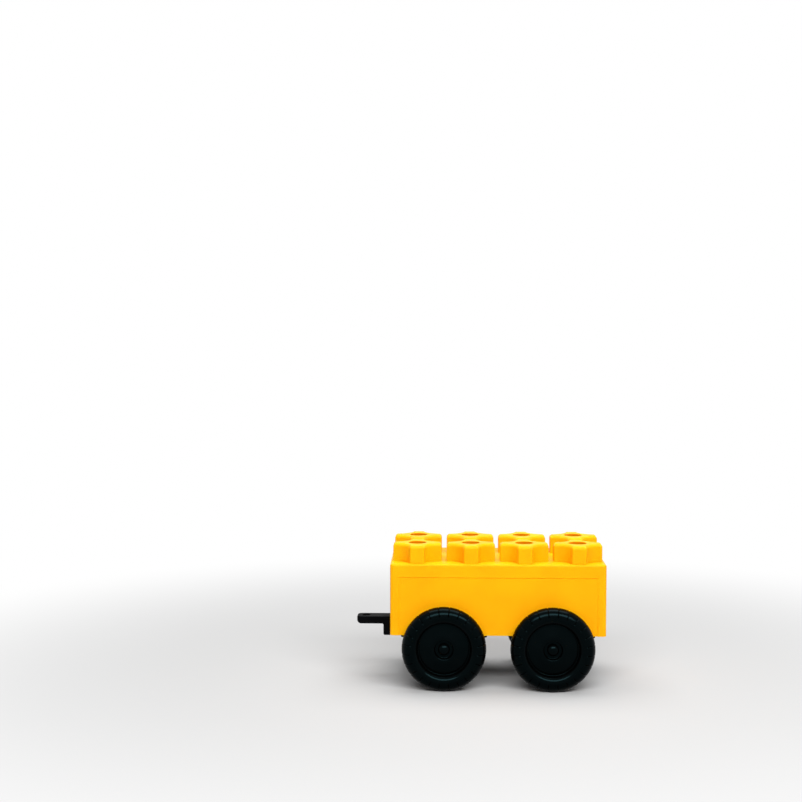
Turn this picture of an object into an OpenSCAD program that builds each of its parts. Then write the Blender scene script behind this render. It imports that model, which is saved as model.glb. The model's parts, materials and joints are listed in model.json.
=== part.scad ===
// Giant 2 x 4 stud building block on wheels, with a tow eye at its left end.
// Millimetres, +Z up, ground at z = 0, +X along the block away from the tow eye.
// The origin is the middle of the whole wagon's footprint on the ground.

/* [Block] */
// Distance from one stud's centre to the next, a quarter of the block's length
pitch = 75; // [70:1:80]
// Height of the block without its studs
block_h = 100; // [90:1:110]
// Thickness of the side walls at the top band
wall = 3.25; // [2.75:0.25:4]
// Thickness of the top plate
top_t = 3; // [2.5:0.5:4]
// Radius of the block's upright corners
corner_r = 5; // [3:0.5:7]
// Radius of the rolled edge round the block's top
edge_r = 3; // [2:0.5:3.5]
// Height of the raised band round the top
band_h = 18.5; // [14:0.5:24]
// How far the side panels lie behind the band
panel_sink = 1; // [0.6:0.1:1.4]
// Width of the raised margin at each end of a side panel
panel_margin = 10; // [8:1:16]

/* [Studs] */
// Height of a stud above the block's top
stud_h = 25; // [20:1:28]
// Gap between a stud and the wall of the block pressed over it
stud_fit = 0.25; // [0.15:0.05:0.4]
// Radius of the hollow taken out of each stud corner
scoop_r = 24; // [20:1:25]
// Radius of the rolled edge round a stud's top
stud_edge_r = 5; // [2:0.5:5.5]
// Wall of a stud and of its socket
stud_wall = 2.75; // [2:0.25:3]
// Diameter of the round socket in each stud
socket_d = 25; // [20:1:27]
// Depth of that socket
socket_depth = 20; // [14:1:21]

/* [Grip ribs] */
// Thickness of the upright ribs inside the walls
rib_t = 3; // [2:0.5:4]
// How far those ribs stand out of the wall
rib_proud = 3; // [2:0.5:3.5]

/* [Wheels] */
// Wheel diameter over the tread
wheel_d = 117; // [110:1:122]
// Wheel width
wheel_w = 26; // [24:1:30]
// Gap between the block's side and the wheel
wheel_gap = 2.5; // [2:0.5:5]
// Radius of the tyre's roll towards the dish, as a share of half its width
rim_share = 0.65; // [0.4:0.05:0.7]
// Width of the flat ring round the tyre's side
tyre_flat = 1; // [0.5:0.25:2]
// How far the dish lies behind the wheel's outer face
dish_depth = 10; // [8:0.5:12]
// Thickness of the wheel's disc
disc_t = 4; // [3:0.5:5]
// Radius of the hub ring on the outer face
hub_ring_r = 19; // [17:0.5:22]
// How far the hub ring stands out of the dish
hub_ring_rise = 5; // [3:0.5:6]
// Radius of the recess inside the hub ring
hub_recess_r = 13; // [12:0.5:16]
// Depth of that recess
hub_recess_depth = 7; // [5:0.5:8]
// Radius of the hub tube on the inner face
hub_r = 12; // [10:0.5:14]
// Number of tread blocks round the wheel
tread_blocks = 24; // [20:1:28]
// Width of the grooves between tread blocks
groove_w = 3; // [2:0.5:4]
// Depth of those grooves
groove_depth = 0.8; // [0.5:0.1:1.6]
// Number of ribs behind the disc
wheel_ribs = 8; // [6:1:10]
// Thickness of those ribs
wheel_rib_t = 3; // [2:0.5:4]

/* [Axles] */
// Axle diameter
axle_d = 8; // [6:0.5:10]
// How far the axle lies below the block's bottom edge
axle_drop = 15; // [12:0.5:18]
// Radial clearance of a wheel on its axle
wheel_run = 0.05; // [0.03:0.01:0.09]
// Radial clearance of the pieces that are held on the axle
axle_hold = 0.02; // [0.01:0.01:0.05]
// End play of a wheel on each side
end_play = 0.3; // [0.2:0.1:0.5]
// Diameter of the spacer behind each wheel
spacer_d = 20; // [16:1:22]
// Radius of the cap on each axle end
cap_r = 8; // [7:0.5:9]
// Height of the cap's straight part
cap_skirt = 3.5; // [3:0.5:4.5]
// Height of the cap's dome
cap_dome = 4; // [3:0.5:5]

/* [Axle carriers] */
// Length of a carrier's flange
flange_l = 120; // [112:1:130]
// Thickness of the flange under the block's edge
flange_t = 3; // [2:0.5:4]
// How far the flange and lugs stay inside the block's side
flange_inset = 1; // [0.5:0.5:2]
// Radius of the flange's corners
flange_r = 6; // [3:0.5:8]
// Length of the flange past the plug at each end
flange_lip = 4; // [3:0.5:6]
// Height of the plug inside the block
plug_h = 20; // [16:1:24]
// Gap between the plug and the block's walls
plug_fit = 0.2; // [0.1:0.05:0.3]
// Wall of the plug
plug_wall = 3; // [2.5:0.5:4]
// Thickness of the lugs that hold the axle
lug_t = 12; // [10:0.5:14]
// Radius of a lug round the axle
lug_r = 13; // [11:0.5:14]
// Width of a lug where it leaves the flange
lug_root = 56; // [44:1:64]

/* [Tow eye] */
// Reach of the tow bar past the block's end
tow_reach = 50; // [46:1:60]
// Width of the bar
tow_w = 26; // [22:1:30]
// Thickness of the bar
tow_t = 10.5; // [8:0.5:12]
// Height of the bar's underside above the block's bottom edge
tow_lift = 3; // [2:0.5:5]
// Radius of the bar's corners at its end, seen from above
tow_end_r = 7; // [5:0.5:10]
// Radius under the bar's end, where it turns up
tow_nose_r = 5; // [3:0.5:5.5]
// Radius of the bar's bends
bend_r = 2; // [1:0.5:2.5]
// Gap between the bar and the block's end
tow_gap = 1.5; // [1:0.5:3]
// Diameter of the eye
eye_d = 11; // [9:0.5:13]
// Length of the seat for the bar on the front carrier
seat_l = 34; // [30:1:38]
// Diameter of the bar's screws
screw_d = 4; // [3.5:0.5:5]
// Distance between those screws
screw_pitch = 16; // [14:1:18]
// Length of a screw under its head
screw_l = 22; // [20:1:24]

/* [Hidden] */
$fn = 96;
eps = 0.5;

// Block and studs
studs_x = 4;
studs_y = 2;
block_l = studs_x * pitch;
block_w = studs_y * pitch;
stud_w = pitch - 2 * (wall + stud_fit);
inner_l = block_l - 2 * wall;
inner_w = block_w - 2 * wall;
socket_r = socket_d / 2;

// Places: the tow bar makes the wagon longer to the left, so the block sits right of the origin
block_x = tow_reach / 2;
wheel_r = wheel_d / 2;
axle_z = wheel_r;
block_z = axle_z + axle_drop;
front_x = block_x - block_l / 4;
rear_x = block_x + block_l / 4;
wheel_y = block_w / 2 + wheel_gap;
end_x = block_x - block_l / 2;

// Wheel sections, measured outwards from the wheel's inner face
tyre_r = wheel_w / 2;
tyre_centre = wheel_r - tyre_r;
rim_r = rim_share * tyre_r;
dish_r = tyre_centre - tyre_flat - rim_r;
dish_t = wheel_w - dish_depth;
hub_ring_t = dish_t + hub_ring_rise;
hub_face_t = hub_ring_t - hub_recess_depth;

// Axle: a cap is pressed on each end, outside the hub
axle_r = axle_d / 2;
cap_t = hub_face_t + end_play;
axle_end = wheel_y + cap_t + cap_skirt;

// Carrier
lug_y = block_w / 2 - flange_inset;
plug_l = flange_l - 2 * flange_lip;
plug_w = inner_w - 2 * plug_fit;
spacer_t = wheel_gap + flange_inset - end_play;
rib_room = 0.3;

// Tow bar: the tongue lies under the front carrier's flange
tongue_top = block_z - flange_t;
seat_x = front_x - plug_l / 2;
tongue_end = seat_x + seat_l;
screw_x = seat_x + seat_l / 2;
screw_r = screw_d / 2;
screw_room = 0.25;
head_r = screw_d;
head_h = 0.6 * screw_d;

// Direction of the point where a line from [px, pz] touches the underside of a circle at the origin
function tangent_angle(px, pz, r) = atan2(pz, px) - acos(r / norm([px, pz]));

module at_studs() {
    for (i = [0 : studs_x - 1], j = [0 : studs_y - 1])
        translate([(i - (studs_x - 1) / 2) * pitch, (j - (studs_y - 1) / 2) * pitch, 0])
            children();
}

module stud_corners() {
    for (sx = [-1, 1], sy = [-1, 1])
        translate([sx * stud_w / 2, sy * stud_w / 2, 0])
            children();
}

// Rectangle standing on the X axis with its two upper corners rounded
module rolled_profile(w, h, r) {
    translate([-w / 2, 0])
        square([w, h - r]);
    translate([r - w / 2, 0])
        square([w - 2 * r, h]);
    for (s = [-1, 1])
        translate([s * (w / 2 - r), h - r])
            circle(r);
}

// Box l x w x h on the XY plane with the edges round its top rolled over
module rolled_box(l, w, h, r) {
    intersection() {
        rotate([90, 0, 0])
            translate([0, 0, -w / 2])
                linear_extrude(w)
                    rolled_profile(l, h, r);
        rotate([90, 0, 90])
            translate([0, 0, -l / 2])
                linear_extrude(l)
                    rolled_profile(w, h, r);
    }
}

module rounded_rect(l, w, r) {
    square([l - 2 * r, w], center = true);
    square([l, w - 2 * r], center = true);
    for (sx = [-1, 1], sy = [-1, 1])
        translate([sx * (l / 2 - r), sy * (w / 2 - r)])
            circle(r);
}

// The sliver between a square corner and the arc of radius r that rounds it, the arc's centre
// lying up and right of the corner and turned from there by a number of quarter turns
module spandrel(corner, quarters, r) {
    translate(corner)
        rotate(quarters * 90)
            difference() {
                translate([-eps, -eps])
                    square(r + eps);
                translate([r, r])
                    circle(r);
            }
}

// Cutter for one scooped stud corner, flared at the top to roll that edge too
module scoop_cutter() {
    rotate_extrude() {
        square([scoop_r, stud_h + eps]);
        translate([0, stud_h])
            square([scoop_r + stud_edge_r, eps]);
        difference() {
            translate([0, stud_h - stud_edge_r])
                square([scoop_r + stud_edge_r, stud_edge_r + eps]);
            translate([scoop_r + stud_edge_r, stud_h - stud_edge_r])
                circle(stud_edge_r);
        }
    }
}

module stud() {
    difference() {
        rolled_box(stud_w, stud_w, stud_h, stud_edge_r);
        stud_corners()
            scoop_cutter();
    }
}

// The space inside a stud, round the cup of its socket
module stud_hollow() {
    depth = stud_h - stud_wall + top_t + eps;
    difference() {
        translate([0, 0, stud_h - stud_wall - depth])
            linear_extrude(depth)
                difference() {
                    square(stud_w - 2 * stud_wall, center = true);
                    stud_corners()
                        circle(scoop_r + stud_wall);
                }
        translate([0, 0, stud_h - socket_depth - stud_wall])
            cylinder(r = socket_r + stud_wall, h = socket_depth + stud_wall);
    }
}

module side_panels() {
    panel_h = block_h - band_h;
    for (s = [-1, 1]) {
        translate([panel_margin - block_l / 2, s * block_w / 2 - panel_sink, -eps])
            cube([block_l - 2 * panel_margin, 2 * panel_sink, panel_h + eps]);
        translate([s * block_l / 2 - panel_sink, panel_margin - block_w / 2, -eps])
            cube([2 * panel_sink, block_w - 2 * panel_margin, panel_h + eps]);
    }
}

// Upright ribs that run between the studs of a block below
module grip_ribs() {
    rib_h = block_h - top_t + eps;
    for (s = [-1, 1]) {
        for (i = [1 : studs_x - 1])
            translate([(i - studs_x / 2) * pitch - rib_t / 2, s * inner_w / 2 - rib_proud, 0])
                cube([rib_t, 2 * rib_proud, rib_h]);
        translate([s * inner_l / 2 - rib_proud, -rib_t / 2, 0])
            cube([2 * rib_proud, rib_t, rib_h]);
    }
}

module block_shell() {
    color("#ffbf10")
        translate([block_x, 0, block_z])
            difference() {
                union() {
                    intersection() {
                        rolled_box(block_l, block_w, block_h, edge_r);
                        linear_extrude(block_h)
                            rounded_rect(block_l, block_w, corner_r);
                    }
                    translate([0, 0, block_h])
                        at_studs()
                            stud();
                }
                side_panels();
                difference() {
                    translate([-inner_l / 2, -inner_w / 2, -eps])
                        cube([inner_l, inner_w, block_h - top_t + eps]);
                    grip_ribs();
                }
                translate([0, 0, block_h])
                    at_studs() {
                        stud_hollow();
                        translate([0, 0, stud_h - socket_depth])
                            cylinder(r = socket_r, h = socket_depth + eps);
                    }
            }
}

// Side view of a lug: a round eye with straight flanks up to the flange
module lug_profile() {
    root = lug_root / 2;
    rise = axle_drop - flange_t + eps;
    a = tangent_angle(root, rise, lug_r);
    side = [lug_r * cos(a), lug_r * sin(a)];
    circle(lug_r);
    polygon([[-root, rise], [-side[0], side[1]], [0, 0], side, [root, rise]]);
}

// Inverted tray that plugs into the block's open underside and carries one axle
module axle_carrier(x) {
    translate([x, 0, 0])
        difference() {
            union() {
                translate([0, 0, block_z - flange_t])
                    linear_extrude(flange_t)
                        rounded_rect(flange_l, 2 * lug_y, flange_r);
                translate([-plug_l / 2, -plug_w / 2, block_z - flange_t])
                    cube([plug_l, plug_w, flange_t + plug_h]);
                for (s = [-1, 1])
                    translate([0, s * (lug_y - lug_t / 2), axle_z])
                        rotate([90, 0, 0])
                            linear_extrude(lug_t, center = true)
                                lug_profile();
            }
            tray_hollow();
            for (s = [-1, 1])
                translate([0, s * plug_w / 2, block_z])
                    rib_notch();
            translate([0, 0, axle_z])
                rotate([90, 0, 0])
                    cylinder(r = axle_r + axle_hold, h = block_w, center = true);
        }
}

// The tray's inside, open below, between the two lugs
module tray_hollow() {
    l = plug_l - 2 * plug_wall;
    w = 2 * (lug_y - lug_t);
    translate([-l / 2, -w / 2, block_z - flange_t - eps])
        cube([l, w, flange_t + plug_h - plug_wall + eps]);
}

module rib_notch() {
    w = rib_t + 2 * rib_room;
    depth = rib_proud - plug_fit + rib_room;
    translate([-w / 2, -depth, 0])
        cube([w, 2 * depth, plug_h + eps]);
}

// Boss inside the front carrier that the tow bar's tongue is screwed to
module tow_seat() {
    translate([seat_x, -tow_w / 2, block_z - flange_t])
        cube([seat_l, tow_w, flange_t + plug_h]);
}

module at_screws() {
    for (s = [-1, 1])
        translate([screw_x + s * screw_pitch / 2, 0, tongue_top - tow_t])
            children();
}

module front_axle_carrier() {
    color("#14161a")
        difference() {
            union() {
                axle_carrier(front_x);
                tow_seat();
            }
            at_screws()
                cylinder(r = screw_r + axle_hold, h = screw_l + eps);
        }
}

module rear_axle_carrier() {
    color("#14161a")
        axle_carrier(rear_x);
}

module axle(x) {
    color("#b9bec4")
        translate([x, 0, axle_z])
            rotate([90, 0, 0])
                cylinder(r = axle_r, h = 2 * axle_end, center = true);
}

// Stands a turned shape on the axle at x, with its own z pointing out of side s
module on_axle(x, s, y) {
    translate([x, s * y, axle_z])
        rotate([-s * 90, 0, 0])
            children();
}

// Half section of the tyre ring, radius along X and width along Y: a full round at the tread,
// a smaller roll on each side of the dish
module tyre_section() {
    wall_x = dish_r - tyre_centre;
    translate([tyre_centre, tyre_r])
        difference() {
            union() {
                intersection() {
                    circle(tyre_r);
                    translate([-eps, -tyre_r])
                        square(wheel_w);
                }
                translate([wall_x, -tyre_r])
                    square([-wall_x, wheel_w]);
            }
            spandrel([wall_x, -tyre_r], 0, rim_r);
            spandrel([wall_x, tyre_r], 3, rim_r);
        }
}

// The grooves across the tread, as deep as a shell of the tyre
module tread_grooves() {
    intersection() {
        for (i = [0 : tread_blocks - 1])
            rotate((i + 0.5) * 360 / tread_blocks)
                translate([tyre_centre + eps, -groove_w / 2, -eps])
                    cube([wheel_r, groove_w, wheel_w + 2 * eps]);
        rotate_extrude()
            translate([tyre_centre, tyre_r])
                difference() {
                    circle(tyre_r + eps);
                    circle(tyre_r - groove_depth);
                }
    }
}

module disc_section() {
    bore = axle_r + wheel_run;
    difference() {
        polygon([
            [bore, 0], [hub_r, 0], [hub_r, dish_t - disc_t],
            [dish_r + eps, dish_t - disc_t], [dish_r + eps, dish_t],
            [dish_r - eps, dish_t], [hub_ring_r, hub_ring_t], [bore, hub_ring_t]
        ]);
        translate([0, hub_face_t])
            square([hub_recess_r, wheel_w]);
    }
}

module wheel(x, s) {
    color("#101216")
        on_axle(x, s, wheel_y) {
            difference() {
                rotate_extrude()
                    tyre_section();
                tread_grooves();
            }
            rotate_extrude()
                disc_section();
            for (i = [0 : wheel_ribs - 1])
                rotate(i * 360 / wheel_ribs)
                    translate([hub_r - eps, -wheel_rib_t / 2, tyre_r / 2])
                        cube([dish_r - hub_r + 2 * eps, wheel_rib_t, dish_t - disc_t - tyre_r / 2 + eps]);
        }
}

module spacer(x, s) {
    color("#d8d8d2")
        on_axle(x, s, lug_y)
            difference() {
                cylinder(d = spacer_d, h = spacer_t);
                translate([0, 0, -eps])
                    cylinder(r = axle_r + axle_hold, h = spacer_t + 2 * eps);
            }
}

// Domed cap pressed on an axle end
module hub_cap(x, s) {
    dome_r = (cap_r * cap_r + cap_dome * cap_dome) / (2 * cap_dome);
    color("#101216")
        on_axle(x, s, wheel_y + cap_t)
            difference() {
                union() {
                    cylinder(r = cap_r, h = cap_skirt);
                    intersection() {
                        translate([0, 0, cap_skirt + cap_dome - dome_r])
                            sphere(dome_r);
                        cylinder(r = cap_r, h = cap_skirt + cap_dome + eps);
                    }
                }
                translate([0, 0, -eps])
                    cylinder(r = axle_r + axle_hold, h = cap_skirt + eps);
            }
}

// Side view of the tow bar: eye level outside the block, tongue level under it, with round bends
module tow_profile() {
    tip = end_x - tow_reach;
    eye_z = block_z + tow_lift;
    low_z = tongue_top - tow_t;
    riser = end_x - tow_gap;
    difference() {
        union() {
            polygon([
                [tip, eye_z], [riser - tow_t, eye_z], [riser - tow_t, low_z],
                [tongue_end, low_z], [tongue_end, tongue_top],
                [riser, tongue_top], [riser, eye_z + tow_t], [tip, eye_z + tow_t]
            ]);
            spandrel([riser - tow_t, eye_z], 2, bend_r);
            spandrel([riser, tongue_top], 0, bend_r);
        }
        spandrel([riser, eye_z + tow_t], 2, bend_r);
        spandrel([riser - tow_t, low_z], 0, bend_r);
        spandrel([tip, eye_z + tow_t], 3, bend_r);
        spandrel([tip, eye_z], 0, tow_nose_r);
    }
}

module tow_bar() {
    eye_x = end_x - tow_reach + tow_w / 2;
    bar_h = block_h / 2;
    color("#14161a")
        difference() {
            intersection() {
                rotate([90, 0, 0])
                    linear_extrude(tow_w, center = true)
                        tow_profile();
                translate([0, 0, block_z - bar_h / 2])
                    linear_extrude(bar_h)
                        translate([(end_x - tow_reach + tongue_end) / 2, 0])
                            rounded_rect(tongue_end - end_x + tow_reach, tow_w, tow_end_r);
            }
            translate([eye_x, 0, block_z])
                cylinder(d = eye_d, h = tow_lift + tow_t + eps);
            at_screws()
                translate([0, 0, -eps])
                    cylinder(r = screw_r + screw_room, h = tow_t + 2 * eps);
        }
}

module tow_bar_screws() {
    color("#9aa0a6")
        at_screws() {
            cylinder(r = screw_r, h = screw_l);
            translate([0, 0, -head_h])
                cylinder(r = head_r, h = head_h);
        }
}

block_shell();
front_axle_carrier();
rear_axle_carrier();
axle(front_x);  // front_axle
axle(rear_x);  // rear_axle
wheel(front_x, -1);  // wheel_front_near
wheel(front_x, 1);  // wheel_front_far
wheel(rear_x, -1);  // wheel_rear_near
wheel(rear_x, 1);  // wheel_rear_far
spacer(front_x, -1);  // spacer_front_near
spacer(front_x, 1);  // spacer_front_far
spacer(rear_x, -1);  // spacer_rear_near
spacer(rear_x, 1);  // spacer_rear_far
hub_cap(front_x, -1);  // hub_cap_front_near
hub_cap(front_x, 1);  // hub_cap_front_far
hub_cap(rear_x, -1);  // hub_cap_rear_near
hub_cap(rear_x, 1);  // hub_cap_rear_far
tow_bar();
tow_bar_screws();
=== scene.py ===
"""Looks of a giant building block on wheels: soft-edged mouldings, finishes, floor, light and camera."""
import json
import math

import bmesh
import bpy
from mathutils import Matrix, Vector


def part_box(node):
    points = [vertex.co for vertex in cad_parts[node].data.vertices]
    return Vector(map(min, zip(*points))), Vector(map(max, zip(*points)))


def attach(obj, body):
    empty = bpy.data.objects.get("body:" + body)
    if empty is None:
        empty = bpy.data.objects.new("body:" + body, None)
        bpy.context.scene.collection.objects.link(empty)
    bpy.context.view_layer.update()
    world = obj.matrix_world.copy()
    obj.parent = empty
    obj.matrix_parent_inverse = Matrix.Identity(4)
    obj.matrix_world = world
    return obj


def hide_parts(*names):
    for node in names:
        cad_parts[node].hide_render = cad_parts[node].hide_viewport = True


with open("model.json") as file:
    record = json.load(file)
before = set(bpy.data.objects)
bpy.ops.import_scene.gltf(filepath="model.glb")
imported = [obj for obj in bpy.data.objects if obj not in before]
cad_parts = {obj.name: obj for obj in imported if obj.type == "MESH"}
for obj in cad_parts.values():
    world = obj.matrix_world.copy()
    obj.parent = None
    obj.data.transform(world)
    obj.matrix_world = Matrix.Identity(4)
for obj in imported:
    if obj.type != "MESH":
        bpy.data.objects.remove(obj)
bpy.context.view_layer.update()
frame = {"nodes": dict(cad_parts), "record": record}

MM = 0.001

# Points that are closer than this are merged, lengths that differ by less are the same, and an edge
# that rises by more isn't level, in mm
MERGE = 1e-4
SAME = 1e-3
LEAST_RISE = 0.05

# Angles between two faces in degrees: below the first they make one flat face, and above the others
# their edge is sharp, a lobe's corner or a groove's lip
FLAT_JOIN = 0.5
SHARP = 35.0
LOBE_CORNER = 25.0
GROOVE_LIP = 20.0

# Part of a face's normal along an axis from which the face counts as square to it
SQUARE = 0.9999

# Segments of a small round in a turned outline, to which a larger one adds one for each mm
ROUND_SEGMENTS = 4

# Block, mm
STUDS_X = 4
STUDS_Y = 2
STUD_H = 25.0
STUD_GAP = 7.0
SCOOP_R = 24.0
SCOOP_STEPS = 8
LOBE_R = 2.0
STUD_ROLL_R = 5.0
MITRE_END = 0.3
STUD_WALL = 2.75
SOCKET_R = 12.5
SOCKET_DEPTH = 20.0
SOCKET_LIP_R = 1.0
SOCKET_SIDES = 48
WALL = 3.25
TOP_T = 3.0
CORNER_R = 5.0
EDGE_R = 3.0
BAND_H = 18.5
PANEL_MARGIN = 10.0
PANEL_SINK = 1.0
PANEL_STEP = 0.8
PANEL_FADE = 4.0
PANEL_BOW = 0.6
PANEL_GRID = 15.0
RIB_T = 3.0
RIB_PROUD = 3.0
RIB_ROOT = 1.0

# Shares of a panel's fade and of its step at which a wall is cut
FADE_CUTS = (0, 0.25, 0.5, 0.75, 1)
STEP_CUTS = (0, 0.33, 0.67, 1)

# Wheels, mm
RIM_R = 8.45
TYRE_FLAT = 1.0
TYRE_SLACK = 0.01
DISH_DEPTH = 10.0
DISH_FILLET_R = 1.4
DISC_T = 4.0
DISC_FILLET_R = 1.5
HUB_RING_R = 19.0
HUB_RING_RISE = 5.0
HUB_RING_EDGE_R = 1.6
HUB_RECESS_R = 13.0
HUB_RECESS_DEPTH = 7.0
HUB_RECESS_FILLET_R = 1.5
HUB_R = 12.0
HUB_EDGE_R = 0.8
BORE_R = 4.05
TREAD_BLOCKS = 24
COLUMNS_PER_BLOCK = 16
GROOVE_START = 0.1
GROOVE_DEPTH = 0.8
GROOVE_EDGE_R = 0.4
WHEEL_RIBS = 8
WHEEL_RIB_T = 3.0

# Screws, mm
SCREW_R = 2.0
SCREW_TIP_R = 0.6
SCREW_SIDES = 32
HEAD_R = 4.0
HEAD_H = 2.4
HEAD_EDGE_R = 0.3
HEAD_DOME_R = 1.6
KEY_R = 1.8
KEY_DEPTH = 1.4
KEY_LAND = 0.36

WHEELS = {
    "wheel_front_near": "front_near_wheel",
    "wheel_front_far": "front_far_wheel",
    "wheel_rear_near": "rear_near_wheel",
    "wheel_rear_far": "rear_far_wheel",
}

# Floor and light, lengths in m
FLOOR_HALF = 8.0
FLOOR_FADE_START = 0.35
FLOOR_FADE_END = 1.1
LIT_POINT = (0.02, 0, 0.12)
ROOM_FILL = 0.2

# Camera, angles in degrees
IMAGE_PX = 802
FOCAL_PX = 1451.0
SENSOR_MM = 36.0
CAMERA_MM = Vector((-44.4, -2070.2, 516.0))
CAMERA_DOWN = 3.322
CAMERA_LEFT = 1.874


def box_mm(node):
    """Lowest and highest corner of a CAD node, in mm."""
    low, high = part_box(node)
    return low / MM, high / MM


def linear(hex_code):
    """Linear RGBA of an sRGB hex value."""
    channels = [int(hex_code[i:i + 2], 16) / 255 for i in (1, 3, 5)]
    return [c / 12.92 if c <= 0.04045 else ((c + 0.055) / 1.055) ** 2.4 for c in channels] + [1.0]


def grey(value):
    """A ramp colour that stands for a plain number."""
    return [value, value, value, 1.0]


def per_mm(size):
    """Texture scale that gives a pattern of this size in mm."""
    return 1 / (size * MM)


def add_object(name, data):
    """A new object in the scene that holds this mesh, lamp or camera."""
    thing = bpy.data.objects.new(name, data)
    bpy.context.scene.collection.objects.link(thing)
    return thing


def add_node(tree, kind, inputs=(), stops=(), **settings):
    """Adds a node. inputs maps a socket to its value or to the socket that feeds it, stops colours a ramp."""
    node = tree.nodes.new(kind)
    for name, value in settings.items():
        setattr(node, name, value)
    for socket, value in dict(inputs).items():
        if isinstance(value, bpy.types.NodeSocket):
            tree.links.new(value, node.inputs[socket])
        else:
            node.inputs[socket].default_value = value
    for i, (place, colour) in enumerate(stops):
        stop = node.color_ramp.elements[i] if i < 2 else node.color_ramp.elements.new(place)
        stop.position = place
        stop.color = colour
    return node


def new_material(name):
    """An empty material: its node tree, the Object coordinates and the surface socket to feed."""
    material = bpy.data.materials.new(name)
    material.use_nodes = True
    tree = material.node_tree
    tree.nodes.clear()
    coordinates = add_node(tree, "ShaderNodeTexCoord").outputs["Object"]
    surface = add_node(tree, "ShaderNodeOutputMaterial").inputs["Surface"]
    return material, tree, coordinates, surface


# Finishes


def yellow_polyethylene(name, tone):
    """Moulded polyethylene: a deep warm yellow that light soaks into, satin, faintly clouded by its flow."""
    material, tree, coordinates, surface = new_material(name)
    cloud = add_node(tree, "ShaderNodeTexNoise", {"Vector": coordinates, "Scale": per_mm(70), "Detail": 2})
    colour = add_node(
        tree, "ShaderNodeValToRGB", {"Fac": cloud.outputs["Fac"]},
        [(0.3, linear(tone[0])), (0.7, linear(tone[1]))],
    )
    scuffs = add_node(tree, "ShaderNodeTexNoise", {"Vector": coordinates, "Scale": per_mm(9), "Detail": 6})
    gloss = add_node(
        tree, "ShaderNodeValToRGB", {"Fac": scuffs.outputs["Fac"]},
        [(0.35, grey(0.38)), (0.75, grey(0.5))],
    )
    # The moulded skin's grain is too fine to show, so it is drawn coarser
    skin = add_node(tree, "ShaderNodeTexNoise", {"Vector": coordinates, "Scale": per_mm(1.5), "Detail": 3})
    bump = add_node(
        tree, "ShaderNodeBump",
        {"Height": skin.outputs["Fac"], "Strength": 0.06, "Distance": 0.2 * MM},
    )
    shader = add_node(
        tree, "ShaderNodeBsdfPrincipled",
        {
            "Base Color": colour.outputs["Color"],
            "Roughness": gloss.outputs["Color"],
            "Specular IOR Level": 0.04,
            "Subsurface Weight": 0.6,
            "Subsurface Radius": (1.0, 0.8, 0.4),
            "Subsurface Scale": 5 * MM,
            "Normal": bump.outputs["Normal"],
        },
    )
    tree.links.new(shader.outputs["BSDF"], surface)
    return material


def black_plastic(name, tone, sheen, grain, specular):
    """Black moulded plastic: deep tone, fine grain, cool gloss that varies between two roughness values."""
    material, tree, coordinates, surface = new_material(name)
    cloud = add_node(tree, "ShaderNodeTexNoise", {"Vector": coordinates, "Scale": per_mm(25), "Detail": 4})
    colour = add_node(
        tree, "ShaderNodeValToRGB", {"Fac": cloud.outputs["Fac"]},
        [(0.3, linear(tone[0])), (0.7, linear(tone[1]))],
    )
    gloss = add_node(
        tree, "ShaderNodeValToRGB", {"Fac": cloud.outputs["Fac"]},
        [(0.3, grey(sheen[0])), (0.7, grey(sheen[1]))],
    )
    skin = add_node(tree, "ShaderNodeTexNoise", {"Vector": coordinates, "Scale": per_mm(grain), "Detail": 3})
    bump = add_node(
        tree, "ShaderNodeBump",
        {"Height": skin.outputs["Fac"], "Strength": 0.08, "Distance": 0.15 * MM},
    )
    shader = add_node(
        tree, "ShaderNodeBsdfPrincipled",
        {
            "Base Color": colour.outputs["Color"],
            "Roughness": gloss.outputs["Color"],
            "Specular IOR Level": specular,
            "Specular Tint": linear("#90d4e0"),
            "Normal": bump.outputs["Normal"],
        },
    )
    tree.links.new(shader.outputs["BSDF"], surface)
    return material


def natural_nylon():
    """Nylon as moulded, without colour: milky, waxy, faintly clouded."""
    material, tree, coordinates, surface = new_material("natural_nylon")
    cloud = add_node(tree, "ShaderNodeTexNoise", {"Vector": coordinates, "Scale": per_mm(6), "Detail": 3})
    colour = add_node(
        tree, "ShaderNodeValToRGB", {"Fac": cloud.outputs["Fac"]},
        [(0.3, linear("#d3d2c8")), (0.7, linear("#dedcd4"))],
    )
    shader = add_node(
        tree, "ShaderNodeBsdfPrincipled",
        {"Base Color": colour.outputs["Color"], "Roughness": 0.45, "IOR": 1.53, "Subsurface Weight": 0.1},
    )
    tree.links.new(shader.outputs["BSDF"], surface)
    return material


def drawn_steel():
    """Bright drawn rod: grey metal with fine lines along its length."""
    material, tree, coordinates, surface = new_material("drawn_steel")
    stretched = add_node(
        tree, "ShaderNodeMapping", {"Vector": coordinates, "Scale": (1.0, 0.02, 1.0)},
    )
    lines = add_node(
        tree, "ShaderNodeTexNoise",
        {"Vector": stretched.outputs["Vector"], "Scale": per_mm(0.4), "Detail": 4},
    )
    gloss = add_node(
        tree, "ShaderNodeValToRGB", {"Fac": lines.outputs["Fac"]},
        [(0.3, grey(0.22)), (0.7, grey(0.38))],
    )
    shader = add_node(
        tree, "ShaderNodeBsdfPrincipled",
        {"Base Color": linear("#b4b8bd"), "Metallic": 1.0, "Roughness": gloss.outputs["Color"]},
    )
    tree.links.new(shader.outputs["BSDF"], surface)
    return material


# Modelling


def as_mesh(name, bm):
    """The bmesh as a mesh of this name. The bmesh is used up."""
    mesh = bpy.data.meshes.new(name)
    bm.to_mesh(mesh)
    bm.free()
    return mesh


def soften(bm):
    """Smooth shading, broken at the sharp edges."""
    for face in bm.faces:
        face.smooth = True
    for edge in bm.edges:
        edge.smooth = len(edge.link_faces) == 2 and edge.calc_face_angle() < math.radians(SHARP)


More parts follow.
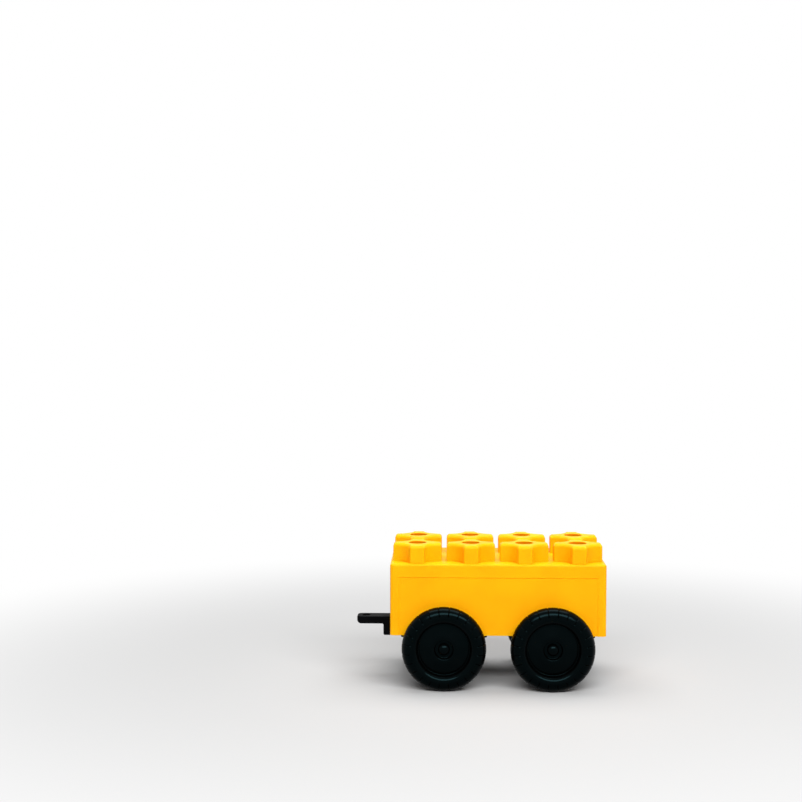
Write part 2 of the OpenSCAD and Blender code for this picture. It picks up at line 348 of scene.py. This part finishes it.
def make_piece(name, bm, finish, body, slot, *nodes):
    """Turns a bmesh in mm into a piece of the object that stands for these CAD nodes."""
    bmesh.ops.remove_doubles(bm, verts=bm.verts, dist=MERGE)
    bmesh.ops.recalc_face_normals(bm, faces=bm.faces)
    soften(bm)
    bmesh.ops.scale(bm, vec=(MM, MM, MM), verts=bm.verts)
    mesh = as_mesh(name, bm)
    mesh.materials.append(finish)
    piece = add_object(name, mesh)
    weighted = piece.modifiers.new("flat_faces", "WEIGHTED_NORMAL")
    weighted.keep_sharp = True
    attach(piece, body)
    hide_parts(*nodes)
    return piece


def bevel(bm, geom, radius, segments, affect="EDGES", clamp=True):
    """Rounds edges, or the corners of an outline, to this radius."""
    return bmesh.ops.bevel(
        bm, geom=geom, offset=radius, segments=segments, profile=0.5, affect=affect,
        material=-1, clamp_overlap=clamp,
    )


def new_verts(made):
    """The vertices that an operator made."""
    return [g for g in made["geom"] if isinstance(g, bmesh.types.BMVert)]


def edges_among(verts):
    """Edges whose two ends are both in verts."""
    chosen = set(verts)
    return list({e for v in chosen for e in v.link_edges if e.other_vert(v) in chosen})


def level(geom, z):
    """The edges in geom that lie at this height."""
    return [e for e in geom if all(abs(v.co.z - z) < SAME for v in e.verts)]


def rise(edge):
    """How much higher one end of an edge is than the other."""
    return abs(edge.verts[0].co.z - edge.verts[1].co.z)


def add_copy(bm, pattern, shift):
    """Adds a mesh to the bmesh, moved by shift."""
    known = set(bm.verts)
    bm.from_mesh(pattern)
    fresh = [v for v in bm.verts if v not in known]
    bmesh.ops.translate(bm, vec=shift, verts=fresh)


def add_bar(bm, size, centre, turn=None, radius=0.6):
    """Adds a straight bar with softened edges."""
    verts = bmesh.ops.create_cube(bm, size=1)["verts"]
    bmesh.ops.scale(bm, vec=size, verts=verts)
    bmesh.ops.translate(bm, vec=centre, verts=verts)
    if turn:
        bmesh.ops.rotate(bm, cent=(0, 0, 0), matrix=turn, verts=verts)
    bevel(bm, edges_among(verts), radius, segments=2)


def cut(bm, faces, axis, place):
    """Cuts these faces by a plane across the axis."""
    normal = Vector((0, 0, 0))
    normal[axis] = 1
    geom = list({e for f in faces for e in f.edges} | {v for f in faces for v in f.verts}) + faces
    bmesh.ops.bisect_plane(bm, geom=geom, plane_co=normal * place, plane_no=normal, dist=MERGE)


def ease(share):
    """0 to 1 with a soft start and end."""
    share = min(max(share, 0), 1)
    return share * share * (3 - 2 * share)


# Block


def half_stud():
    """Half the width of a stud."""
    low, high = box_mm("block_shell")
    return ((high.x - low.x) / STUDS_X - STUD_GAP) / 2


def stud_outline(bm, half, scoop_r, z):
    """Face with the outline of a stud: a square with a round scoop out of each corner."""
    centre = half_stud()
    dip = math.asin((centre - half) / scoop_r)
    start = bm.verts.new((centre - scoop_r * math.cos(dip), half, z))
    bmesh.ops.spin(
        bm, geom=[start], cent=(centre, centre, z), axis=(0, 0, 1),
        angle=math.pi / 2 - 2 * dip, steps=SCOOP_STEPS,
    )
    bmesh.ops.spin(
        bm, geom=bm.verts[:] + bm.edges[:], cent=(0, 0, z), axis=(0, 0, 1),
        angle=1.5 * math.pi, steps=3, use_duplicate=True,
    )
    ring = sorted(bm.verts, key=lambda v: math.atan2(v.co.y, v.co.x))
    return bm.faces.new(ring)


def stud(half, scoop_r, z, height, socket_r, socket_depth, soft):
    """One stud with its socket as an open skin. soft rounds its edges, as outside; inside they stay plain."""
    bm = bmesh.new()
    outline = stud_outline(bm, half, scoop_r, z)
    raised = bmesh.ops.extrude_face_region(bm, geom=[outline])["geom"]
    top = next(g for g in raised if isinstance(g, bmesh.types.BMFace))
    bmesh.ops.translate(bm, vec=(0, 0, height), verts=top.verts)
    if outline.is_valid:
        bmesh.ops.delete(bm, geom=[outline], context="FACES_ONLY")
    if soft:
        bevel(bm, top.edges[:], STUD_ROLL_R, segments=6)
        bmesh.ops.remove_doubles(bm, verts=bm.verts, dist=SAME)
        bm.normal_update()
        bevel(bm, lobe_corners(bm, z + height), LOBE_R, segments=3)
    top = max(bm.faces, key=lambda f: (round(f.calc_center_median().z, 2), f.calc_area()))
    rim = top.edges[:]
    bmesh.ops.delete(bm, geom=[top], context="FACES_ONLY")
    add_socket(bm, rim, z + height, socket_r, socket_depth, soft)
    return bm


def lobe_corners(bm, top):
    """The upright edges of a stud's lobes, with the mitres that run on from them over the rolled top."""
    below_top = [e for e in bm.edges if max(v.co.z for v in e.verts) < top - MITRE_END]
    rising = [e for e in below_top if len(e.link_faces) == 2 and rise(e) > LEAST_RISE]
    return [e for e in rising if e.calc_face_angle() > math.radians(LOBE_CORNER)]


def add_socket(bm, rim, z, socket_r, depth, soft):
    """Closes a stud's top round its socket. In a soft one, wall and floor get the piece's second finish, a
    deeper yellow that is painted shade.
    """
    border = 2 * SOCKET_LIP_R
    circle = bmesh.ops.create_circle(
        bm, segments=SOCKET_SIDES, radius=socket_r + border, matrix=Matrix.Translation((0, 0, z)),
    )["verts"]
    outer = edges_among(circle)
    bmesh.ops.triangle_fill(bm, edges=rim + outer, use_beauty=True, normal=(0, 0, 1))
    inner = new_verts(bmesh.ops.extrude_edge_only(bm, edges=outer))
    shrink = socket_r / (socket_r + border)
    bmesh.ops.scale(bm, vec=(shrink, shrink, 1), verts=inner)
    lip = edges_among(inner)
    bottom = new_verts(bmesh.ops.extrude_edge_only(bm, edges=lip))
    bmesh.ops.translate(bm, vec=(0, 0, -depth), verts=bottom)
    floor_edges = edges_among(bottom)
    bmesh.ops.contextual_create(bm, geom=floor_edges)
    if soft:
        # Painted shade: the socket's wall and floor take the deeper yellow finish
        for face in {f for v in bottom for f in v.link_faces}:
            face.material_index = 1
        bevel(bm, lip, SOCKET_LIP_R, segments=4)
        bevel(bm, floor_edges, SOCKET_LIP_R, segments=3)


def skin(length, width, plate_z, half, scoop_r, stud_top, socket_r, socket_floor, soft):
    """Open-bottomed block with its studs, as one skin: the outside of the block, or the plainer inside."""
    one = stud(half, scoop_r, plate_z, stud_top - plate_z, socket_r, stud_top - socket_floor, soft)
    pattern = as_mesh("stud_pattern", one)
    bm = bmesh.new()
    bmesh.ops.create_cube(bm, size=1)
    bmesh.ops.scale(bm, vec=(length, width, plate_z), verts=bm.verts)
    bmesh.ops.translate(bm, vec=(0, 0, plate_z / 2), verts=bm.verts)
    bm.normal_update()
    if soft:
        bevel(bm, [e for e in bm.edges if rise(e) > LEAST_RISE], CORNER_R, segments=6)
        bevel(bm, level(bm.edges, plate_z), EDGE_R, segments=6)
    bm.normal_update()
    ends = [f for f in bm.faces if abs(f.normal.z) > SQUARE]
    bmesh.ops.delete(bm, geom=ends, context="FACES_ONLY")
    if soft:
        sink_panels(bm, length, width, plate_z)
    pitch = half_stud() * 2 + STUD_GAP
    for i in range(STUDS_X):
        for j in range(STUDS_Y):
            add_copy(bm, pattern, ((i - (STUDS_X - 1) / 2) * pitch, (j - (STUDS_Y - 1) / 2) * pitch, 0))
    bpy.data.meshes.remove(pattern)
    open_edges = [e for e in level(bm.edges, plate_z) if len(e.link_faces) == 1]
    bmesh.ops.triangle_fill(bm, edges=open_edges, use_beauty=True, normal=(0, 0, 1))
    return bm


def sink_panels(bm, length, width, height):
    """Sinks a panel into each wall: crisp under the band, fading in at the sides, and bowed out a little."""
    panel_top = height - BAND_H
    half_l, half_w = length / 2, width / 2
    for along, across, long_half, wide_half in ((0, 1, half_l, half_w), (1, 0, half_w, half_l)):
        edge = long_half - PANEL_MARGIN
        fades = [edge - PANEL_FADE * k for k in FADE_CUTS]
        count = round(2 * fades[-1] / PANEL_GRID)
        grid = [fades[-1] * (2 * k / count - 1) for k in range(1, count)]
        levels = [panel_top - PANEL_STEP * k for k in STEP_CUTS]
        rows = round(levels[-1] / PANEL_GRID)
        levels += [levels[-1] * k / rows for k in range(1, rows)]
        places = [(along, s * x) for x in fades for s in (-1, 1)] + [(along, x) for x in grid]
        for axis, place in places + [(2, z) for z in levels]:
            walls = [f for f in bm.faces if abs(f.normal[across]) > SQUARE]
            cut(bm, walls, axis, place)
            bm.normal_update()
        for v in bm.verts:
            if abs(abs(v.co[across]) - wide_half) > SAME:
                continue
            side = math.copysign(1, v.co[across])
            in_panel = ease((edge - abs(v.co[along])) / PANEL_FADE)
            under_band = ease((panel_top - v.co.z) / PANEL_STEP)
            swell = math.cos(v.co[along] / edge * math.pi / 2)
            swell *= math.sin((panel_top - v.co.z) / panel_top * math.pi)
            v.co[across] -= side * in_panel * under_band * (PANEL_SINK - PANEL_BOW * max(swell, 0))


def moulded_block(finish, painted_shade_finish):
    """The block: outer and inner skin joined at the bottom rim, with grip ribs inside the walls."""
    low, high = box_mm("block_shell")
    length, width = high.x - low.x, high.y - low.y
    height = high.z - low.z - STUD_H
    inner_l, inner_w = length - 2 * WALL, width - 2 * WALL
    half = half_stud()
    top = height + STUD_H
    bm = skin(length, width, height, half, SCOOP_R, top, SOCKET_R, top - SOCKET_DEPTH, True)
    inner = skin(
        inner_l, inner_w, height - TOP_T, half - STUD_WALL, SCOOP_R + STUD_WALL,
        top - STUD_WALL, SOCKET_R + STUD_WALL, top - SOCKET_DEPTH - STUD_WALL, False,
    )
    inside = as_mesh("block_inside", inner)
    bm.from_mesh(inside)
    bpy.data.meshes.remove(inside)
    rim = [e for e in level(bm.edges, 0) if len(e.link_faces) == 1]
    bmesh.ops.triangle_fill(bm, edges=rim, use_beauty=True, normal=(0, 0, -1))
    add_grip_ribs(bm, length / STUDS_X, inner_l, inner_w, height - TOP_T)
    bmesh.ops.translate(bm, vec=((low.x + high.x) / 2, (low.y + high.y) / 2, low.z), verts=bm.verts)
    piece = make_piece("moulded_block", bm, finish, "wagon", "yellow_plastic", "block_shell")
    # Second finish: a deeper yellow that paints shade into the sockets
    piece.data.materials.append(painted_shade_finish)


def add_grip_ribs(bm, pitch, inner_l, inner_w, rib_h):
    """Upright ribs inside the walls, one between every two studs."""
    depth = RIB_PROUD + RIB_ROOT
    inset = (RIB_PROUD - RIB_ROOT) / 2
    for side in (-1, 1):
        for i in range(1, STUDS_X):
            place = ((i - STUDS_X / 2) * pitch, side * (inner_w / 2 - inset), rib_h / 2)
            add_bar(bm, (RIB_T, depth, rib_h), place)
        add_bar(bm, (depth, RIB_T, rib_h), (side * (inner_l / 2 - inset), 0, rib_h / 2))


# Wheels and screws


def spun(bm, outline, steps):
    """Turns an outline round Z. Each point is a radius, a height and how far its corner is rounded."""
    corners = [(bm.verts.new((r, 0, z)), rounding) for r, z, rounding in outline]
    bm.faces.new([v for v, _ in corners])
    for v, rounding in corners:
        if rounding:
            bevel(bm, [v], rounding, ROUND_SEGMENTS + round(rounding), affect="VERTICES")
    bmesh.ops.delete(bm, geom=bm.faces[:], context="FACES_ONLY")
    bmesh.ops.remove_doubles(bm, verts=bm.verts, dist=5 * TYRE_SLACK)
    on_axis = [e for e in bm.edges if all(v.co.x < SAME for v in e.verts)]
    bmesh.ops.delete(bm, geom=on_axis, context="EDGES")
    bmesh.ops.spin(
        bm, geom=bm.verts[:] + bm.edges[:], cent=(0, 0, 0), axis=(0, 0, 1),
        angle=2 * math.pi, steps=steps, use_merge=True,
    )
    bmesh.ops.remove_doubles(bm, verts=bm.verts, dist=MERGE)
    bmesh.ops.recalc_face_normals(bm, faces=bm.faces)


def on_axle(bm, x, y, z, side):
    """Stands a turned shape on the axle, its own z pointing out of that side of the wagon."""
    bmesh.ops.transform(
        bm, verts=bm.verts,
        matrix=Matrix.Translation((x, y, z)) @ Matrix.Rotation(-side * math.pi / 2, 4, "X"),
    )


def moulded_wheel(node, body, finish):
    """One wheel: a round tyre with cross grooves, a dished disc, a hub ring and ribs behind the disc."""
    low, high = box_mm(node)
    centre = (low + high) / 2
    side = math.copysign(1, centre.y)
    width = high.y - low.y
    wheel_r = (high.z - low.z) / 2
    tyre_r = width / 2
    # The tread's two rounds stop just short of each other, because each corner is rounded by itself
    tread_r = tyre_r - TYRE_SLACK
    ring_r = wheel_r - tyre_r
    dish_r = ring_r - TYRE_FLAT - RIM_R
    dish = width - DISH_DEPTH
    back = dish - DISC_T
    hub_top = dish + HUB_RING_RISE
    floor = hub_top - HUB_RECESS_DEPTH
    outline = [
        (BORE_R, 0, 0), (HUB_R, 0, HUB_EDGE_R),
        (HUB_R, back, DISC_FILLET_R), (dish_r, back, DISC_FILLET_R),
        (dish_r, 0, RIM_R), (wheel_r, 0, tread_r), (wheel_r, width, tread_r), (dish_r, width, RIM_R),
        (dish_r, dish, DISH_FILLET_R), (HUB_RING_R, hub_top, HUB_RING_EDGE_R),
        (HUB_RECESS_R, hub_top, HUB_RING_EDGE_R), (HUB_RECESS_R, floor, HUB_RECESS_FILLET_R),
        (BORE_R, floor, 0),
    ]
    bm = bmesh.new()
    spun(bm, outline, TREAD_BLOCKS * COLUMNS_PER_BLOCK)
    cut_grooves(bm, ring_r, tyre_r)
    start, end = HUB_R - RIB_ROOT, dish_r + RIB_ROOT
    bottom, top = tyre_r / 2, back + RIB_ROOT
    for i in range(WHEEL_RIBS):
        add_bar(
            bm, (end - start, WHEEL_RIB_T, top - bottom), ((start + end) / 2, 0, (bottom + top) / 2),
            Matrix.Rotation(i * 2 * math.pi / WHEEL_RIBS, 3, "Z"),
        )
    on_axle(bm, centre.x, centre.y - side * tyre_r, centre.z, side)
    make_piece("moulded_" + node, bm, finish, body, "wheel_plastic", node)


def cut_grooves(bm, ring_r, tyre_r):
    """Presses a groove across the tyre between every two tread blocks."""
    block = 2 * math.pi / TREAD_BLOCKS
    column = block / COLUMNS_PER_BLOCK
    lips = set()
    for v in bm.verts:
        heart = Vector((*(v.co.xy.normalized() * ring_r), tyre_r))
        outwards = v.co - heart
        if v.co.xy.length < ring_r + GROOVE_START or abs(outwards.length - tyre_r) > TYRE_SLACK:
            continue
        off = abs(math.atan2(v.co.y, v.co.x) % block - block / 2)
        if off < column / 2:
            v.co -= outwards * (GROOVE_DEPTH / tyre_r)
        elif off < column * 1.5:
            lips.add(v)
    sharp = [e for e in edges_among(lips) if e.calc_face_angle() > math.radians(GROOVE_LIP)]
    bevel(bm, sharp, GROOVE_EDGE_R, segments=2)


def socket_screw(length):
    """A screw that stands on its tip: plain shank, round head, hexagon socket."""
    bm = bmesh.new()
    neck = length - HEAD_H
    spun(bm, [
        (0, 0, 0), (SCREW_R, 0, SCREW_TIP_R), (SCREW_R, neck, 0), (HEAD_R, neck, HEAD_EDGE_R),
        (HEAD_R, length, HEAD_DOME_R), (KEY_R + KEY_LAND, length, 0), (0, length, 0),
    ], SCREW_SIDES)
    middle = [v for v in bm.verts if v.co.z > length - SAME and v.co.xy.length < SAME]
    bmesh.ops.delete(bm, geom=middle, context="VERTS")
    rim = [e for e in level(bm.edges, length) if len(e.link_faces) == 1]
    key = edges_among(bmesh.ops.create_circle(
        bm, segments=6, radius=KEY_R, matrix=Matrix.Translation((0, 0, length)),
    )["verts"])
    bmesh.ops.triangle_fill(bm, edges=rim + key, use_beauty=True, normal=(0, 0, 1))
    sunk = new_verts(bmesh.ops.extrude_edge_only(bm, edges=key))
    bmesh.ops.translate(bm, vec=(0, 0, -KEY_DEPTH), verts=sunk)
    bmesh.ops.contextual_create(bm, geom=edges_among(sunk))
    return bm


def tow_screws(node, finish):
    """The two screws that hold the tow bar's tongue, driven in from below."""
    low, high = box_mm(node)
    one = socket_screw(high.z - low.z)
    bmesh.ops.rotate(one, cent=(0, 0, 0), matrix=Matrix.Rotation(math.pi, 3, "X"), verts=one.verts)
    pattern = as_mesh("screw_pattern", one)
    bm = bmesh.new()
    for x in (low.x + HEAD_R, high.x - HEAD_R):
        add_copy(bm, pattern, (x, (low.y + high.y) / 2, high.z))
    bpy.data.meshes.remove(pattern)
    make_piece("socket_head_screws", bm, finish, "wagon", "steel", node)


# Simpler pieces


def softened(node, name, finish, slot, radius):
    """A copy of a CAD node with its sharp edges rounded, which stands for that node."""
    bm = bmesh.new()
    bm.from_mesh(frame["nodes"][node].data)
    bmesh.ops.scale(bm, vec=(1 / MM, 1 / MM, 1 / MM), verts=bm.verts)
    bmesh.ops.remove_doubles(bm, verts=bm.verts, dist=SAME)
    bmesh.ops.dissolve_limit(bm, angle_limit=math.radians(FLAT_JOIN), verts=bm.verts, edges=bm.edges)
    sharp = [e for e in bm.edges if len(e.link_faces) == 2 and e.calc_face_angle() > math.radians(SHARP)]
    bevel(bm, sharp, radius, segments=3, clamp=False)
    make_piece(name, bm, finish, "wagon", slot, node)


# Floor, light and camera


def seen_rays(tree):
    """1 for rays that show the background itself: from the camera, or by way of gloss or glass."""
    path = add_node(tree, "ShaderNodeLightPath")
    shiny = add_node(
        tree, "ShaderNodeMath",
        {0: path.outputs["Is Glossy Ray"], 1: path.outputs["Is Transmission Ray"]}, operation="MAXIMUM",
    )
    either = add_node(
        tree, "ShaderNodeMath",
        {0: path.outputs["Is Camera Ray"], 1: shiny.outputs["Value"]}, operation="MAXIMUM",
    )
    return either.outputs["Value"]


def studio_floor():
    """Matt studio floor: pale round the object, where its shadow falls, white far off, clear from below."""
    material, tree, coordinates, surface = new_material("white_studio_floor")
    distance = add_node(tree, "ShaderNodeVectorMath", {0: coordinates}, operation="LENGTH")
    fade = add_node(
        tree, "ShaderNodeMapRange",
        {"Value": distance.outputs["Value"], "From Min": FLOOR_FADE_START, "From Max": FLOOR_FADE_END},
        interpolation_type="SMOOTHSTEP",
    )
    burnt = add_node(
        tree, "ShaderNodeMath", {0: fade.outputs["Result"], 1: seen_rays(tree)}, operation="MULTIPLY",
    )
    paint = add_node(tree, "ShaderNodeBsdfDiffuse", {"Color": linear("#b6b6b6")})
    white = add_node(tree, "ShaderNodeEmission", {"Color": (1, 1, 1, 1), "Strength": 1.0})
    above = add_node(
        tree, "ShaderNodeMixShader",
        {0: burnt.outputs["Value"], 1: paint.outputs["BSDF"], 2: white.outputs["Emission"]},
    )
    side = add_node(tree, "ShaderNodeNewGeometry")
    clear = add_node(tree, "ShaderNodeBsdfTransparent")
    either = add_node(
        tree, "ShaderNodeMixShader",
        {0: side.outputs["Backfacing"], 1: above.outputs["Shader"], 2: clear.outputs["BSDF"]},
    )
    tree.links.new(either.outputs["Shader"], surface)
    return material


def add_floor():
    """A flat floor under the wheels."""
    bm = bmesh.new()
    bmesh.ops.create_grid(bm, x_segments=1, y_segments=1, size=FLOOR_HALF)
    mesh = as_mesh("floor", bm)
    mesh.materials.append(studio_floor())
    floor = add_object("floor", mesh)


def light_world():
    """White room: a plain fill for the object, pure white where it is seen."""
    world = bpy.data.worlds.new("white_room")
    bpy.context.scene.world = world
    world.use_nodes = True
    tree = world.node_tree
    tree.nodes.clear()
    strength = add_node(
        tree, "ShaderNodeMapRange", {"Value": seen_rays(tree), "To Min": ROOM_FILL, "To Max": 1.0},
    )
    room = add_node(
        tree, "ShaderNodeBackground", {"Color": (1, 1, 1, 1), "Strength": strength.outputs["Result"]},
    )
    output = add_node(tree, "ShaderNodeOutputWorld")
    tree.links.new(room.outputs["Background"], output.inputs["Surface"])


def add_softbox(name, place, width, height, power):
    """An oblong soft light at a place, turned to the object's middle."""
    lamp = bpy.data.lights.new(name, "AREA")
    lamp.shape = "RECTANGLE"
    lamp.size = width
    lamp.size_y = height
    lamp.energy = power
    softbox = add_object(name, lamp)
    softbox.location = place
    softbox.rotation_euler = (Vector(LIT_POINT) - Vector(place)).to_track_quat("-Z", "Y").to_euler()


def add_camera():
    """The photograph's camera: slightly left of the block's middle, looking a little down."""
    data = bpy.data.cameras.new("camera")
    data.sensor_width = SENSOR_MM
    data.lens = FOCAL_PX / IMAGE_PX * SENSOR_MM
    camera = add_object("camera", data)
    camera.location = CAMERA_MM * MM
    camera.rotation_euler = (math.radians(90 - CAMERA_DOWN), 0, math.radians(CAMERA_LEFT))
    bpy.context.scene.camera = camera


# Object

yellow = yellow_polyethylene("yellow_polyethylene", ("#fba507", "#feae09"))
# Painted shade: the sockets' walls and floors get a deeper yellow that stands for the darkness in these
# recesses
socket_shade_yellow = yellow_polyethylene("yellow_polyethylene_painted_socket_shade", ("#c87606", "#d07c08"))
black = black_plastic(
    "black_polypropylene", ("#080809", "#0b0b0c"), sheen=(0.42, 0.55), grain=0.8, specular=0.015,
)
satin_black = black_plastic(
    "satin_black_polypropylene", ("#0e0e0f", "#121213"), sheen=(0.35, 0.45), grain=0.8, specular=0.12,
)
wheel_black = black_plastic(
    "black_polyethylene", ("#010101", "#020202"), sheen=(0.14, 0.2), grain=1.2, specular=0.06,
)
nylon = natural_nylon()
steel = drawn_steel()

moulded_block(yellow, socket_shade_yellow)
for wheel_node, wheel_body in WHEELS.items():
    moulded_wheel(wheel_node, wheel_body, wheel_black)
tow_screws("tow_bar_screws", steel)

# Finish, start of the name and edge radius in mm of the simpler pieces, by node
SIMPLE_PIECES = {
    "tow_bar": (black, "moulded_", 1.2),
    "front_axle_carrier": (satin_black, "moulded_", 0.8),
    "rear_axle_carrier": (satin_black, "moulded_", 0.8),
    "front_axle": (steel, "turned_", 0.6),
    "rear_axle": (steel, "turned_", 0.6),
}
for corner in ("front_near", "front_far", "rear_near", "rear_far"):
    SIMPLE_PIECES["spacer_" + corner] = (nylon, "turned_", 0.4)
    SIMPLE_PIECES["hub_cap_" + corner] = (wheel_black, "moulded_", 0.5)

slots = {part["node"]: part["material_slot"] for part in frame["record"]["subparts"]}
for simple_node, (simple_finish, made, edge_r) in SIMPLE_PIECES.items():
    softened(simple_node, made + simple_node, simple_finish, slots[simple_node], edge_r)

# Studio

add_floor()
light_world()
add_softbox("front_softbox", (0.3, -2.15, 1.97), width=3.2, height=0.9, power=114.0)
# Behind the object, so that it draws no second band of light on the tyres
add_softbox("top_softbox", (0.1, 0.5, 2.2), width=2.4, height=1.6, power=52.0)
add_camera()
bpy.context.scene.view_settings.view_transform = "Standard"
